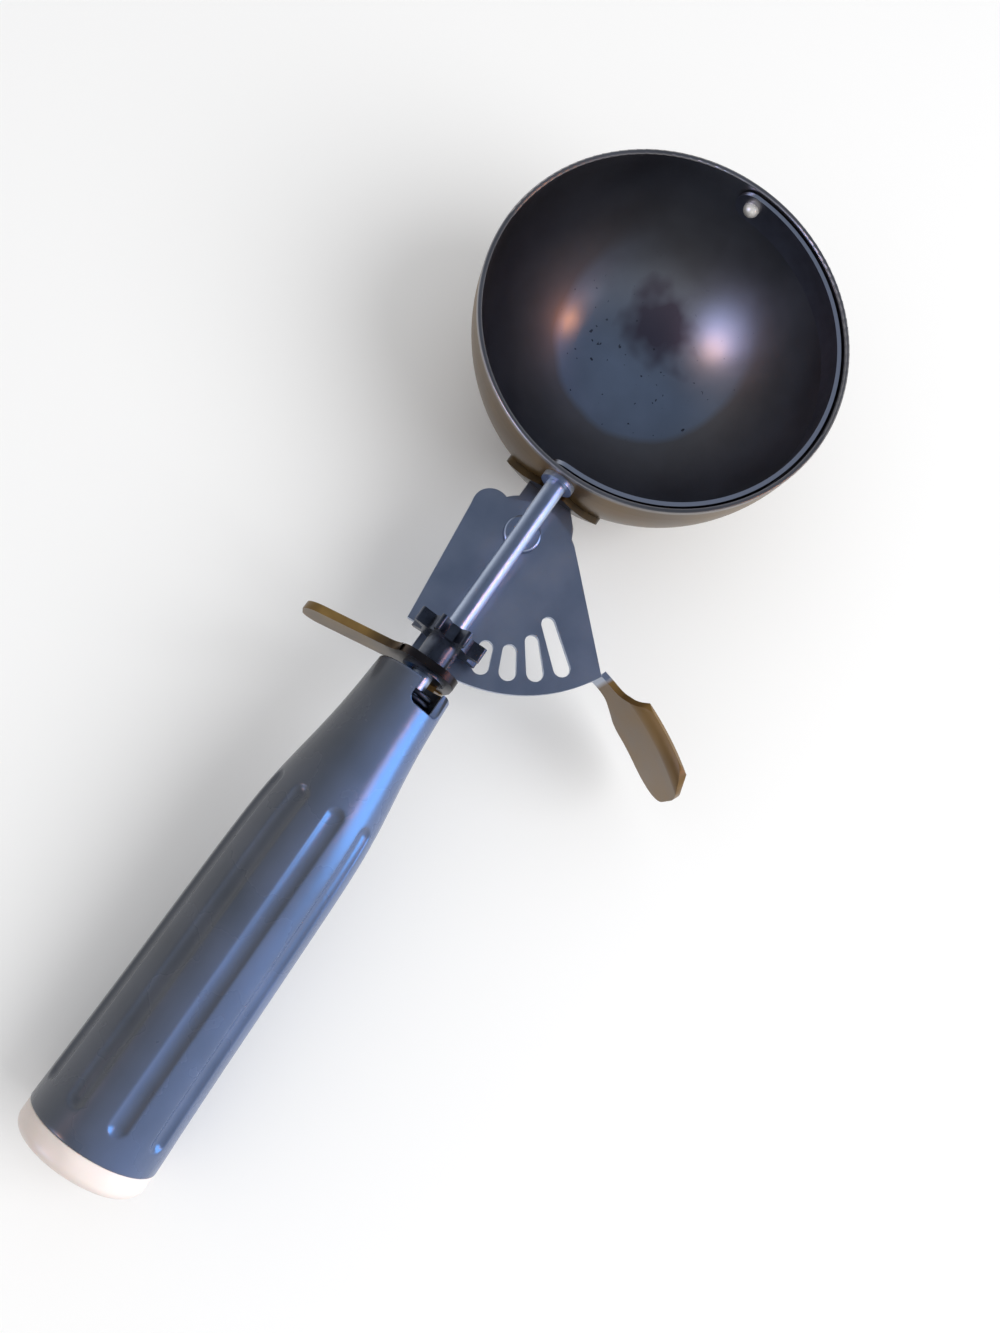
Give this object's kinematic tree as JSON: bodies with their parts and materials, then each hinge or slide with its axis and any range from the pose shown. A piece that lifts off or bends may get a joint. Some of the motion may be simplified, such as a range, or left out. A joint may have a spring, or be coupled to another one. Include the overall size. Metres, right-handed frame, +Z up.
{
  "type": "lever ice cream scoop",
  "caption": "Round ice cream scoop with a thumb lever: a slotted fan turns a pinion and spindle, which sweep a curved scraper round the bowl.",
  "frame": {"origin": "middle of the bottom of the bounding box, on the surface that the scoop lies on", "axes": "+X from the handle to the bowl, +Z up, +Y away from the thumb lever"},
  "size_m": [0.212, 0.0866, 0.0441],
  "materials": {
    "bowl_steel": "pressed stainless steel, polished inside",
    "sheet_steel": "stamped stainless sheet, satin",
    "turned_steel": "turned stainless steel, bright",
    "spring_steel": "rolled spring steel",
    "grip_plastic": "moulded blue-grey plastic, satin gloss",
    "cap_plastic": "moulded white plastic"
  },
  "bodies": {
    "body": {"bowl": "bowl_steel", "bowl_bushing": "turned_steel", "bowl_saddle": "sheet_steel", "frame_bar": "sheet_steel", "bearing_wall": "sheet_steel", "rear_bushing": "turned_steel", "handle_tang": "sheet_steel", "handle_grip": "grip_plastic", "end_cap": "cap_plastic", "return_spring": "spring_steel", "lever_rivet": "turned_steel", "lever_washer": "turned_steel"},
    "lever": {"lever_plate": "sheet_steel"},
    "scraper": {"spindle": "turned_steel", "pinion": "turned_steel", "pinion_pin": "turned_steel", "retaining_clip": "spring_steel", "scraper_blade": "spring_steel", "blade_pivot_pin": "turned_steel"}
  },
  "joints": [
    {"name": "lever_swing", "type": "hinge", "parent": "body", "child": "lever", "pos_m": [0.02425, 0.00728, 0.02399], "axis": [0.1089, 0, -0.9941], "range_deg": [0, 45], "stiffness_Nm_per_rad": 0.5, "springref_deg": -20.05},
    {"name": "scraper_turn", "type": "hinge", "parent": "body", "child": "scraper", "pos_m": [-0.00156, 0.00728, 0.02821], "axis": [0.9941, 0, 0.1089], "range_deg": [0, 180]}
  ],
  "couplings": [
    {"joint": "scraper_turn", "follows": "lever_swing", "ratio": 4}
  ]
}
